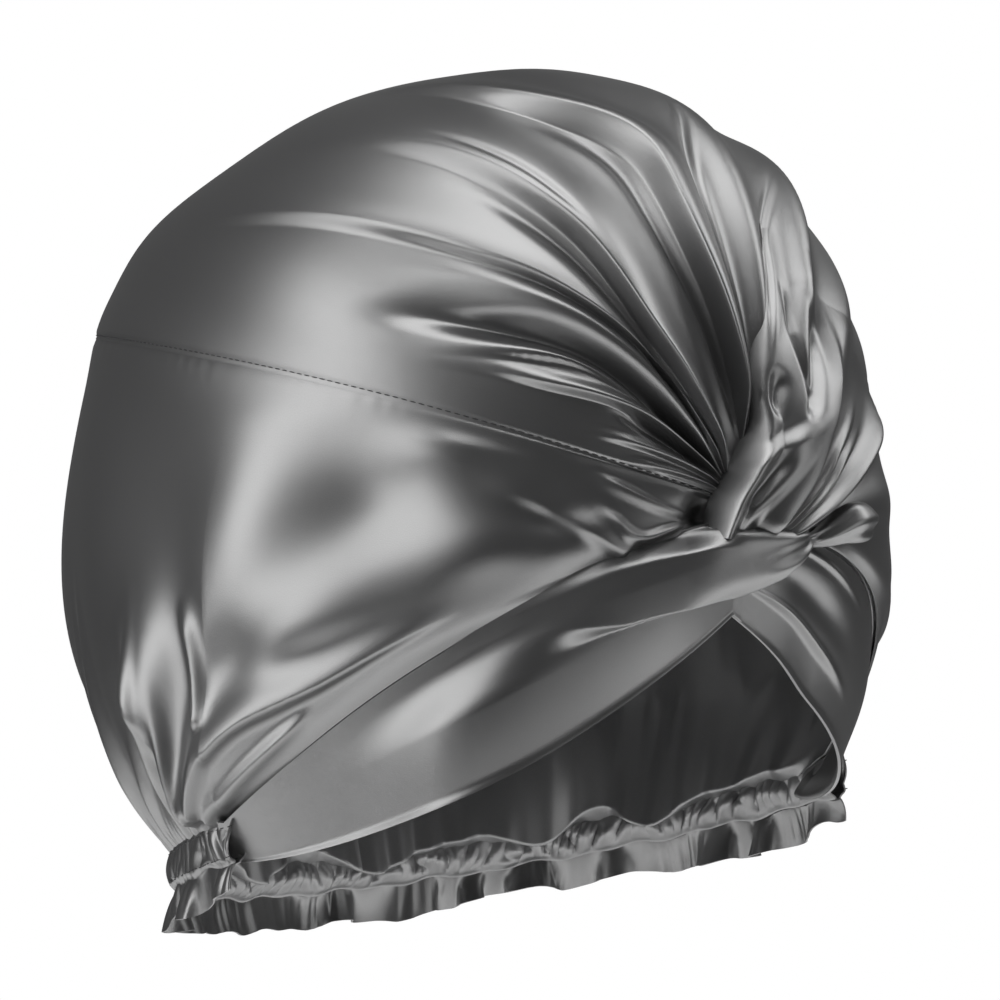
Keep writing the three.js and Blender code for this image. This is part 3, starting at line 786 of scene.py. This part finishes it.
# the near band's upper fold rises towards the twist, and the right strand goes on from it round the left one.
# places are shares of the way from the front middle to the left ear, so the near side is negative
tongue = {
    "top": [(-0.62, 0.088), (-0.41, 0.104), (-0.28, 0.1126), (-0.2, 0.116), (-0.09, 0.1193), (0.047, 0.1184),
            (0.1, 0.1178), (0.129, 0.1168), (0.15, 0.115), (0.18, 0.115), (0.22, 0.119), (0.267, 0.1228),
            (0.32, 0.1225), (0.38, 0.1195), (0.44, 0.117)],
    "width": [(-0.62, 0.022), (-0.406, 0.0219), (-0.277, 0.0214), (-0.174, 0.0213), (-0.09, 0.021), (-0.006, 0.0182),
              (0.06, 0.0142), (0.1, 0.0098), (0.121, 0.0062), (0.15, 0.003), (0.18, 0.004), (0.22, 0.0085),
              (0.267, 0.0115), (0.32, 0.012), (0.38, 0.009), (0.44, 0.0055)],
    "rise": [(-0.62, 0), (-0.5, 0.4), (-0.41, 1.1), (-0.36, 1.9), (-0.3, 3.3), (-0.25, 4.6), (-0.2, 6), (-0.15, 7.8),
             (-0.1, 9.8), (-0.04, 11.5), (0, 12), (0.06, 12), (0.1, 10.5), (0.13, 7), (0.15, 3.5), (0.18, 2),
             (0.22, 5), (0.28, 8), (0.34, 7), (0.39, 3), (0.44, -3)],
    "edgeDrop": 5.0,
    "window": 0.03,
    "foot": (0.0009, 0.009),
    "footUntil": (-0.24, 0.16),
    "topFade": 0.005,
    "roundFrom": (-0.16, 0.12),
}

# brow bands, folded double. the near one swells in its middle and lies flat towards the ear
bandCloth = {
    "columns": 220,
    "rows": 90,
    "thickness": 0.0009,
    "cut": (0.16, 0.042),
    "first": -0.02,
    "end": {right: 1.014, left: 1.03},
    "overTop": 4.5,
    "overTopUntil": (0.6, 0.25),
    "endLift": {right: 3.2, left: 0.4},
    "endFrom": (0.78, 0.26),
    "endLiftBelow": 0.45,
    "edgeRoll": 0.7,
    "edgeWidth": 0.05,
    "belly": 1.2,
    "softness": 1.3,
    "seamFade": 0.2,
    "twistFade": 0.16,
    "nearEar": {"from": (0.56, 0.2), "calm": 0.9, "lean": 2.0},
    "swell": {"at": 0.5, "halfWidth": 0.2, "height": 6.0, "from": (0.1, 0.4)},
    "farInward": 6.5,
    "farFrom": (0.05, 0.25),
    "farUnder": 1.5,
    "farSlant": 0.3,
    "farRidgeStart": 0.1,
    "farRidgeUntil": (0.5, 0.25),
    "farRidges": [(0.56, 0.05, 1.5), (0.3, 0.16, -1.2), (0.02, 0.04, 1.0)],
}


def bandOut(points):
    return unit(points * np.array([1 / bandHalfWidth ** 2, 1 / bandHalfDepth ** 2, 0]))


def tonguePath(key, share):
    return softPath(tongue[key], share, tongue["window"])


def tongueRise(share, height):
    top, width, rise = (tonguePath(key, share) for key in ("top", "width", "rise"))
    roundness = np.sqrt(1 - np.abs(2 * np.clip((top - height) / width, 0, 1) - 1) ** 3)
    rounded = rise - (1 - roundness) * np.clip(rise, 0, tongue["edgeDrop"])
    rounded = np.where((height < top + 1e-5) & (height > top - width - 1e-5), rounded, 0)
    footDepth = mix(*tongue["foot"], easeUntil(share, *tongue["footUntil"]))
    faded = rise * ease((top - height) / tongue["topFade"]) * ease((height - top + width) / footDepth)
    return mm * mix(faded, rounded, easeFrom(share, *tongue["roundFrom"]))


def bandSoft(side, share, down):
    soft = bandCloth["belly"] * np.sin(math.pi * np.clip(down, 0, 1))
    wave = bandCloth["softness"] * softWave(share * 9, down * 3, 21 + side)
    soft = soft + wave * ease(down / bandCloth["seamFade"])
    if side == right:
        nearEar, swell = bandCloth["nearEar"], bandCloth["swell"]
        flat = easeFrom(share, *nearEar["from"])
        soft = soft * (1 - nearEar["calm"] * flat) - nearEar["lean"] * down * flat
        full = bell(share - swell["at"], swell["halfWidth"])
        soft = soft + swell["height"] * full * easeFrom(down, *swell["from"])
    return mm * soft * ease(share / bandCloth["twistFade"])


for side, sideName in sides:
    shares = np.linspace(bandCloth["first"], bandCloth["end"][side], bandCloth["columns"])
    share, part = gridOver(shares, bandCloth["rows"])
    overTop = 0 * share
    if side == right:
        overTop = bandCloth["overTop"] * mm * easeUntil(share, *bandCloth["overTopUntil"])
    tall = bandSeam(side, share)[..., 2] - faceEdge(side, share)[..., 2]
    down = mix(-overTop / tall, 1, part)
    base = bandBase(side, share, down)
    lift = bandSoft(side, share, down) + bandCloth["edgeRoll"] * mm * bell(1 - down, bandCloth["edgeWidth"])
    ending = easeFrom(share, *bandCloth["endFrom"])
    lift = lift + bandCloth["endLift"][side] * mm * ending * mix(1, bandCloth["endLiftBelow"], down)
    if side == right:
        lift = lift + tongueRise(-share, base[..., 2])
    else:
        lift = lift - bandCloth["farInward"] * mm * ease(down) * easeFrom(share, *bandCloth["farFrom"])
        lift = lift - bandCloth["farUnder"] * mm
        for place, halfWidth, height in bandCloth["farRidges"]:
            ridge = bell(down - place - bandCloth["farSlant"] * share, halfWidth)
            ridge = ridge * ease(share / bandCloth["farRidgeStart"]) * easeUntil(share, *bandCloth["farRidgeUntil"])
            lift = lift + height * mm * ridge
    points = raised(base, bandOut(base), lift)
    band = clothPiece(f"brow_band_cloth_{sideName}", points, bandCloth["thickness"], satin)
    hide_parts(f"brow_band_{sideName}")
    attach(band, "crown")
print("brow bands made")


# left twist strand: the far crown cloth, drawn as a pleated ribbon over the near folds and down to the twist.
# its two edge lines are on the crown seen from the twist, in degrees: left of it, and above it
leftStrand = {
    "rows": 170,
    "columns": 190,
    "thickness": 0.0005,
    "cut": (0.10, 0.08),
    "nearEdge": [(17.5, 38), (12.3, 32.3), (8, 24.9), (3.7, 18.5), (1.6, 13.6), (0.8, 9), (-2.4, 4.6), (-5.2, 1),
                 (-6.5, -3.2)],
    "farEdge": [(44.5, 12), (41, 11), (35, 8), (28, 4.6), (20, 1.5), (14, -0.6), (9, -2.2), (6, -3.2), (3.8, -3.8)],
    "lift": [(0, -0.4), (0.1, 0), (0.18, 0.8), (0.26, 3), (0.36, 7), (0.5, 9.5), (0.7, 10.5), (0.88, 9.5), (1, 6)],
    "nearLift": [(0, -0.4), (0.1, 0.4), (0.2, 2.8), (0.35, 6), (0.5, 7.2), (0.65, 7.6), (0.88, 7.6), (1, 5)],
    "liftWindow": 0.1,
    "nearPart": 0.45,
    "edgeWidth": 0.1,
    "edgeUnder": 1.5,
    "edgeFrom": (0.06, 0.2),
    "crownUntil": (0.42, 0.3),
    "crossing": {"down": 0.7, "perAcross": -0.55, "softness": 0.09, "height": 2.6, "until": (0.5, 0.2)},
    "folds": [
        {"path": [(0, 0.11), (1, 0.1)], "near": 0.12, "far": 0.16, "height": 3.0, "start": (0.45, 0.3)},
        {"path": [(0, 0.4), (0.6, 0.56), (1, 0.76)], "near": 0.3, "far": 0.06, "height": 4.2, "start": (0.08, 0.4)},
        {"path": [(0, 0.66), (0.5, 0.7), (1, 0.83)], "near": 0.05, "far": 0.03, "height": 1.6, "start": (0.3, 0.3)},
        {"path": [(0, 0.74), (0.5, 0.78), (1, 0.89)], "near": 0.05, "far": 0.03, "height": 1.8, "start": (0.35, 0.3)},
        {"path": [(0, 0.92), (0.5, 0.92), (1, 0.96)], "near": 0.1, "far": 0.07, "height": 3.6, "start": (0.1, 0.3)},
    ],
    "grooveFrom": (0.18, 0.12),
    "grooveUntil": (0.52, 0.1),
    "grooves": [
        {"path": [(0.1, 0.03), (0.3, 0.17), (0.4, 0.31), (0.46, 0.37)], "halfWidth": 0.03, "depth": 1.8},
        {"path": [(0.1, 0.12), (0.22, 0.26), (0.33, 0.33), (0.46, 0.38)], "halfWidth": 0.05, "depth": 2.6},
    ],
    "hollows": [
        {"across": 0.27, "down": 0.76, "halfAcross": 0.075, "halfDown": 0.11, "tilt": 0.25, "depth": 2.6},
        {"across": 0.15, "down": 0.49, "halfAcross": 0.05, "halfDown": 0.06, "tilt": 0.0, "depth": 2.2},
    ],
}
across, down = gridOver(np.linspace(0, 1, leftStrand["columns"]), leftStrand["rows"])
flat = mix(smoothPath(leftStrand["nearEdge"], down), smoothPath(leftStrand["farEdge"], down), across[..., None])
strandTurn = np.arctan2(flat[..., 0], flat[..., 1])
strandSweep = np.radians(np.hypot(flat[..., 0], flat[..., 1]))
foldLift = 0 * down
for fold in leftStrand["folds"]:
    offset = across - along(fold["path"], down)
    profile = np.where(offset < 0, bell(offset, fold["near"]), ease(1 - offset / fold["far"]))
    foldLift = np.maximum(foldLift, fold["height"] * profile * easeFrom(down, *fold["start"]))
fade = easeFrom(down, *leftStrand["grooveFrom"]) * easeUntil(down, *leftStrand["grooveUntil"])
for groove in leftStrand["grooves"]:
    foldLift = foldLift - groove["depth"] * bell(across - along(groove["path"], down), groove["halfWidth"]) * fade
for hollow in leftStrand["hollows"]:
    beside = (across - hollow["across"] + hollow["tilt"] * (down - hollow["down"])) / hollow["halfAcross"]
    below = (down - hollow["down"]) / hollow["halfDown"]
    foldLift = foldLift - hollow["depth"] * np.exp(-beside ** 2 - below ** 4)
crossing = leftStrand["crossing"]
past = down - crossing["down"] - crossing["perAcross"] * across
crossed = ease(past / crossing["softness"]) * easeUntil(across, *crossing["until"])
nearLift, farLift = (softPath(leftStrand[key], down, leftStrand["liftWindow"]) for key in ("nearLift", "lift"))
lift = mix(nearLift, farLift, ease(across / leftStrand["nearPart"])) + crossing["height"] * crossed
edgeRound = np.clip(1 - across / leftStrand["edgeWidth"], 0, 1)
edgeTuck = (np.maximum(lift, 0) + leftStrand["edgeUnder"]) * (1 - np.sqrt(1 - edgeRound ** 2))
lift = lift + foldLift - edgeTuck * easeFrom(down, *leftStrand["edgeFrom"])
under = crownLift(strandTurn, strandSweep) * easeUntil(down, *leftStrand["crownUntil"])
strandNormals = crownNormal(strandTurn, strandSweep)
points = raised(crownBase(strandTurn, strandSweep), strandNormals, under + lift * mm)
strandLeft = clothPiece("twist_strand_left_cloth", points, leftStrand["thickness"], satin, strandNormals)
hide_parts("twist_strand_left")
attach(strandLeft, "crown")

# right twist strand: the near band's end, crossed over the left strand and round it
rightStrand = {
    "columns": 240,
    "rows": 70,
    "thickness": 0.0006,
    "cut": (0.14, 0.022),
    "from": -0.33,
    "to": 0.44,
    "above": (-0.35, 0.3),
    "aboveFrom": (-0.22, 0.14),
    "ripple": 0.8,
    "rippleFrom": (-0.02, 0.1),
}
shares = np.linspace(rightStrand["from"], rightStrand["to"], rightStrand["columns"])
share, down = gridOver(shares, rightStrand["rows"])
height = tonguePath("top", share) - down * tonguePath("width", share)
seamHeight, edgeHeight = bandSeam(left, share)[..., 2], faceEdge(left, share)[..., 2]
bandDown = (seamHeight - height) / (seamHeight - edgeHeight)
base = bandBase(left, share, bandDown)
base[..., 2] = height
above = mm * mix(*rightStrand["above"], easeFrom(share, *rightStrand["aboveFrom"]))
ripple = rightStrand["ripple"] * mm * np.sin(down * 9 + share * 14) * np.sin(math.pi * down)
ripple = ripple * easeFrom(share, *rightStrand["rippleFrom"])
lift = bandSoft(right, -share, bandDown) + tongueRise(share, height) + above + ripple
points = raised(base, bandOut(base), lift)
strandRight = clothPiece("twist_strand_right_cloth", points, rightStrand["thickness"], satin)
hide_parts("twist_strand_right")
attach(strandRight, "crown")
print("twist strands made")


# the hem's casing, gathered on the elastic, and the ruffle below it
hemShare = np.linspace(0, 1, hemCloth["columns"])
hemShare = hemShare - hemCloth["earCrowding"] * np.sin(2 * math.pi * hemShare) / (2 * math.pi)
hemShare = (1 + 2 * hemCloth["pastEar"]) * hemShare - hemCloth["pastEar"]
wander = hemCloth["edgeWander"] * mm * np.sin(hemShare * 97 + 1.3) * np.sin(hemShare * 29 + 0.4)
casingEnd = form["pieceGap"] + form["casingHeight"] + wander
waist = mix(hemCloth["waist"][0] * mm, casingOut(hemShare, 1), hemCloth["waist"][1])

share, part = gridOver(hemShare, hemCloth["casingRows"])
drop = part * casingEnd
pinch = ease((1 - part) / hemCloth["pinch"])
outward = mix(waist, casingOut(share, part), pinch)
casing = clothPiece("nape_casing_cloth", hemPoint(share, drop, outward), hemCloth["thickness"], satin)
crumple = hemCloth["crumple"] * mm * (1 + softWave(share * 40, part * 2, 31))
inwards = np.sin(math.pi * part) * (pleats(share, part, hemCloth["insideDepths"], 5) + crumple)
inwards = np.maximum(hemCloth["inside"] + inwards, hemCloth["inside"])
inwards = mix(hemCloth["insideWaist"] * mm, inwards, pinch)
casingLining = clothPiece("nape_casing_inside_cloth", hemPoint(share, drop, -inwards), hemCloth["thickness"],
                          liningSatinPaintedLighter)

share, part = gridOver(hemShare, hemCloth["ruffleRows"])
ends = ease(share / hemCloth["ruffleEnds"][0]) * ease((1 - share) / hemCloth["ruffleEnds"][1])
quiet = hemCloth["ruffleCalm"]
calm = 1 - quiet["by"] * bell(share - quiet["at"], quiet["halfWidth"])
phase = 2 * math.pi * hemCloth["lobes"] * share + 1.3 * np.sin(share * 19 + 0.7) + 0.9 * np.sin(share * 47 + 2.1)
full, fullWave = hemCloth["fullness"]
fullness = (full + fullWave * np.sin(share * 29 + 1.1)) * mix(hemCloth["endFullness"], 1, ends) * calm
uneven = hemCloth["ruffleUneven"] * mm * (softWave(share * 45, 0 * share, 37) + 0.4 * np.sin(phase)) * calm
length = (form["ruffleHeight"] + uneven) * mix(hemCloth["endLength"], 1, ends)
swing = hemCloth["ruffleSwing"] * mm * fullness * np.sin(phase)
creases = pleats(share, 1, hemCloth["outsideDepths"], 3) * (1 - part)
outward = waist + part * mm * mix(quiet["lean"], 1, calm) + part ** hemCloth["ruffleFlare"] * (swing + creases)
aside = hemCloth["ruffleCurl"] * mm * fullness * np.sin(2 * phase) * part / hemLength
points = hemPoint(share - aside, casingEnd + part * length, outward)
ruffle = clothPiece("nape_ruffle_cloth", points, hemCloth["thickness"], satin)
for piece, replaced, cut, slot in ((casing, "nape_casing_outer", "casingCut", "satin"),
                                   (casingLining, "nape_casing_inner", "innerCut", "satin_lining"),
                                   (ruffle, "nape_ruffle", "ruffleCut", "satin")):
    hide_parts(replaced)
    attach(piece, "nape_hem")
print("nape hem made")


# stitches, laid one by one along a line by a node tree
stitching = {
    "spacing": 0.0026,
    "length": 0.0019,
    "width": 0.00035,
    "standOff": 0.0001,
    "besideSeam": 0.006,
    "seamPoints": 260,
    "seamSweeps": {"right": (6, 178), "left": (46, 178)},
    "casingRows": {"upper": 0.12, "lower": 0.84},
}


def socketId(tree, name):
    return next(item.identifier for item in tree.interface.items_tree if item.name == name)


def stitchTree():
    tree = bpy.data.node_groups.new("stitches along a line", "GeometryNodeTree")
    tree.interface.new_socket("Geometry", in_out="INPUT", socket_type="NodeSocketGeometry")
    tree.interface.new_socket("Geometry", in_out="OUTPUT", socket_type="NodeSocketGeometry")
    for name in ("Spacing", "Length", "Width"):
        tree.interface.new_socket(name, in_out="INPUT", socket_type="NodeSocketFloat")
    tree.interface.new_socket("Thread", in_out="INPUT", socket_type="NodeSocketMaterial")
    source = tree.nodes.new("NodeGroupInput")
    target = tree.nodes.new("NodeGroupOutput")
    resample = tree.nodes.new("GeometryNodeResampleCurve")
    resample.mode = "LENGTH"
    join(tree, source, "Geometry", resample, "Curve")
    join(tree, source, "Spacing", resample, "Length")
    ball = node(tree, "GeometryNodeMeshUVSphere", Segments=8, Rings=6, Radius=0.5)
    size = tree.nodes.new("ShaderNodeCombineXYZ")
    for axis, length in (("X", "Width"), ("Y", "Width"), ("Z", "Length")):
        join(tree, source, length, size, axis)
    tangent = tree.nodes.new("GeometryNodeInputTangent")
    turn = tree.nodes.new("FunctionNodeAlignEulerToVector")
    turn.axis = "Z"
    join(tree, tangent, "Tangent", turn, "Vector")
    place = tree.nodes.new("GeometryNodeInstanceOnPoints")
    join(tree, resample, "Curve", place, "Points")
    join(tree, ball, "Mesh", place, "Instance")
    join(tree, turn, "Rotation", place, "Rotation")
    join(tree, size, "Vector", place, "Scale")
    realize = tree.nodes.new("GeometryNodeRealizeInstances")
    join(tree, place, "Instances", realize, "Geometry")
    paint = tree.nodes.new("GeometryNodeSetMaterial")
    join(tree, realize, "Geometry", paint, "Geometry")
    join(tree, source, "Thread", paint, "Material")
    join(tree, paint, "Geometry", target, "Geometry")
    return tree


stitches = stitchTree()


def stitchPiece(name, points):
    curve = bpy.data.curves.new(name + "_line", "CURVE")
    curve.dimensions = "3D"
    spline = curve.splines.new("POLY")
    spline.points.add(len(points) - 1)
    spline.points.foreach_set("co", np.pad(points, ((0, 0), (0, 1)), constant_values=1).ravel())
    line = addObject(name + "_line", curve)
    modifier = line.modifiers.new("stitches", "NODES")
    modifier.node_group = stitches
    for socket, value in (("Spacing", stitching["spacing"]), ("Length", stitching["length"]),
                          ("Width", stitching["width"]), ("Thread", thread)):
        modifier[socketId(stitches, socket)] = value
    bpy.context.view_layer.update()
    graph = bpy.context.evaluated_depsgraph_get()
    mesh = bpy.data.meshes.new_from_object(line.evaluated_get(graph), depsgraph=graph)
    mesh.name = name
    piece = addObject(name, mesh)
    bpy.data.objects.remove(line)
    mesh.polygons.foreach_set("use_smooth", np.ones(len(mesh.polygons), bool))
    return piece


for side, sideName in sides:
    first, last = stitching["seamSweeps"][sideName]
    sweepLine = np.radians(np.linspace(first, last, stitching["seamPoints"]))
    turnLine = np.full_like(sweepLine, side * (seamTurn - stitching["besideSeam"]))
    outward = crownLift(turnLine, sweepLine) + stitching["standOff"]
    line = raised(crownBase(turnLine, sweepLine), crownNormal(turnLine, sweepLine), outward)
    piece = stitchPiece(f"crown_seam_stitches_{sideName}", line)
    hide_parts(f"crown_seam_stitch_{sideName}")
    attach(piece, "crown")
for row, place in stitching["casingRows"].items():
    outward = casingOut(hemShare, place) + stitching["standOff"]
    line = hemPoint(hemShare, form["pieceGap"] + place * form["casingHeight"] + 0 * hemShare, outward)
    piece = stitchPiece(f"casing_stitches_{row}", line)
    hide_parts(f"casing_stitch_{row}")
    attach(piece, "nape_hem")
print("stitches made")

# frame pieces that stay as they are, out of sight in the hem and behind the twist
for name, material in (("knot_tack", thread), ("elastic_tack_right", thread), ("elastic_tack_left", thread),
                       ("nape_elastic", rubber)):
    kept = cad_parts[name]
    kept.data.materials.clear()
    kept.data.materials.append(material)


# studio: a pale floor, a room that is white to the camera, and soft boxes at the right, above, left and in front
studio = {
    "floorHeight": -0.5,
    "floorRadius": 1.1,
    "floorCorners": 96,
    "floorGrey": 0.75,
    "floorRoughness": 0.9,
    "floorWhiteness": (0.05, 1.0),
    "room": 0.25,
    "roomInSatin": 0.042,
    "boxes": [
        {"azimuth": -95, "elevation": 19, "size": (0.72, 1.7), "radiance": 2.5},
        {"azimuth": 0, "elevation": 86, "size": (1.3, 1.05), "radiance": 2.4},
        {"azimuth": 76, "elevation": 36, "size": (0.8, 0.75), "radiance": 2.2},
        {"azimuth": 28, "elevation": 0, "size": (0.9, 0.8), "radiance": 0.8},
    ],
    "boxDistance": 1.25,
}
focus = Vector((0, 0, 0.115))


def aim(item, towards):
    item.rotation_mode = "QUATERNION"
    item.rotation_quaternion = (Vector(towards) - item.location).to_track_quat("-Z", "Y")


def direction(azimuth, elevation):
    azimuth, elevation = math.radians(azimuth), math.radians(elevation)
    return Vector((math.sin(azimuth) * math.cos(elevation), -math.cos(azimuth) * math.cos(elevation),
                   math.sin(elevation)))


def anyRay(tree, names):
    lightPath = tree.nodes.new("ShaderNodeLightPath")
    rays = lightPath.outputs[names[0]]
    for name in names[1:]:
        either = tree.nodes.new("ShaderNodeMath")
        either.operation = "MAXIMUM"
        tree.links.new(rays, either.inputs[0])
        tree.links.new(lightPath.outputs[name], either.inputs[1])
        rays = either.outputs["Value"]
    return lightPath, rays


for index, box in enumerate(studio["boxes"]):
    lamp = bpy.data.lights.new(f"soft box {index + 1}", "AREA")
    lamp.shape = "RECTANGLE"
    lamp.size, lamp.size_y = box["size"]
    lamp.energy = box["radiance"] * math.pi * box["size"][0] * box["size"][1]
    holder = addObject(lamp.name, lamp)
    holder.location = focus + studio["boxDistance"] * direction(box["azimuth"], box["elevation"])
    aim(holder, focus)

world = bpy.data.worlds.new("studio room")
bpy.context.scene.world = world
world.use_nodes = True
tree = world.node_tree
background = tree.nodes["Background"]
background.inputs["Color"].default_value = (1, 1, 1, 1)
lightPath, seen = anyRay(tree, ("Is Camera Ray", "Is Transmission Ray"))
lightMix = node(tree, "ShaderNodeMix", A=studio["room"], B=studio["roomInSatin"])
join(tree, lightPath, "Is Glossy Ray", lightMix, "Factor")
roomMix = node(tree, "ShaderNodeMix", B=1.0)
tree.links.new(seen, roomMix.inputs["Factor"])
join(tree, lightMix, "Result", roomMix, "A")
join(tree, roomMix, "Result", background, "Strength")

floorMesh = bpy.data.meshes.new("floor")
corners = np.linspace(0, 2 * math.pi, studio["floorCorners"], endpoint=False)
rim = studio["floorRadius"] * np.stack([np.cos(corners), np.sin(corners), 0 * corners], -1)
floorMesh.from_pydata(rim.tolist(), [], [list(range(len(rim)))])
floor = addObject("floor", floorMesh)
floor.location.z = studio["floorHeight"]
floorMaterial, tree, floorShader = newMaterial("pale floor", studio["floorRoughness"])
floorShader.inputs["Base Color"].default_value = (*[studio["floorGrey"]] * 3, 1)
glow = tree.nodes.new("ShaderNodeEmission")
lightPath, seen = anyRay(tree, ("Is Camera Ray", "Is Glossy Ray", "Is Transmission Ray"))
coords = tree.nodes.new("ShaderNodeTexCoord")
fromMiddle = tree.nodes.new("ShaderNodeVectorMath")
fromMiddle.operation = "LENGTH"
join(tree, coords, "Object", fromMiddle, 0)
middleWhite, rimWhite = studio["floorWhiteness"]
whiteness = node(tree, "ShaderNodeMapRange", From_Max=studio["floorRadius"], To_Min=middleWhite, To_Max=rimWhite)
whiteness.interpolation_type = "SMOOTHSTEP"
join(tree, fromMiddle, "Value", whiteness, "Value")
shown = tree.nodes.new("ShaderNodeMath")
shown.operation = "MULTIPLY"
join(tree, whiteness, "Result", shown, 0)
tree.links.new(seen, shown.inputs[1])
join(tree, shown, "Value", glow, "Strength")
both = tree.nodes.new("ShaderNodeAddShader")
join(tree, floorShader, "BSDF", both, 0)
join(tree, glow, "Emission", both, 1)
join(tree, both, "Shader", tree.nodes["Material Output"], "Surface")
floorMesh.materials.append(floorMaterial)

# camera on the wearer's right, as the photo has it
view = {
    "azimuth": -34.0,
    "elevation": 5.7,
    "distance": 1.5,
    "aside": 0.007353,
    "lens": 183.6,
    "sensor": 36,
}
azimuth = math.radians(view["azimuth"])
sideways = Vector((math.cos(azimuth), math.sin(azimuth), 0))
target = focus + sideways * view["aside"]
cameraData = bpy.data.cameras.new("camera")
cameraData.lens = view["lens"]
cameraData.sensor_width = view["sensor"]
camera = addObject("camera", cameraData)
camera.location = target + direction(view["azimuth"], view["elevation"]) * view["distance"]
aim(camera, target)
bpy.context.scene.camera = camera
bpy.context.scene.view_settings.view_transform = "Standard"
print("studio and camera made")
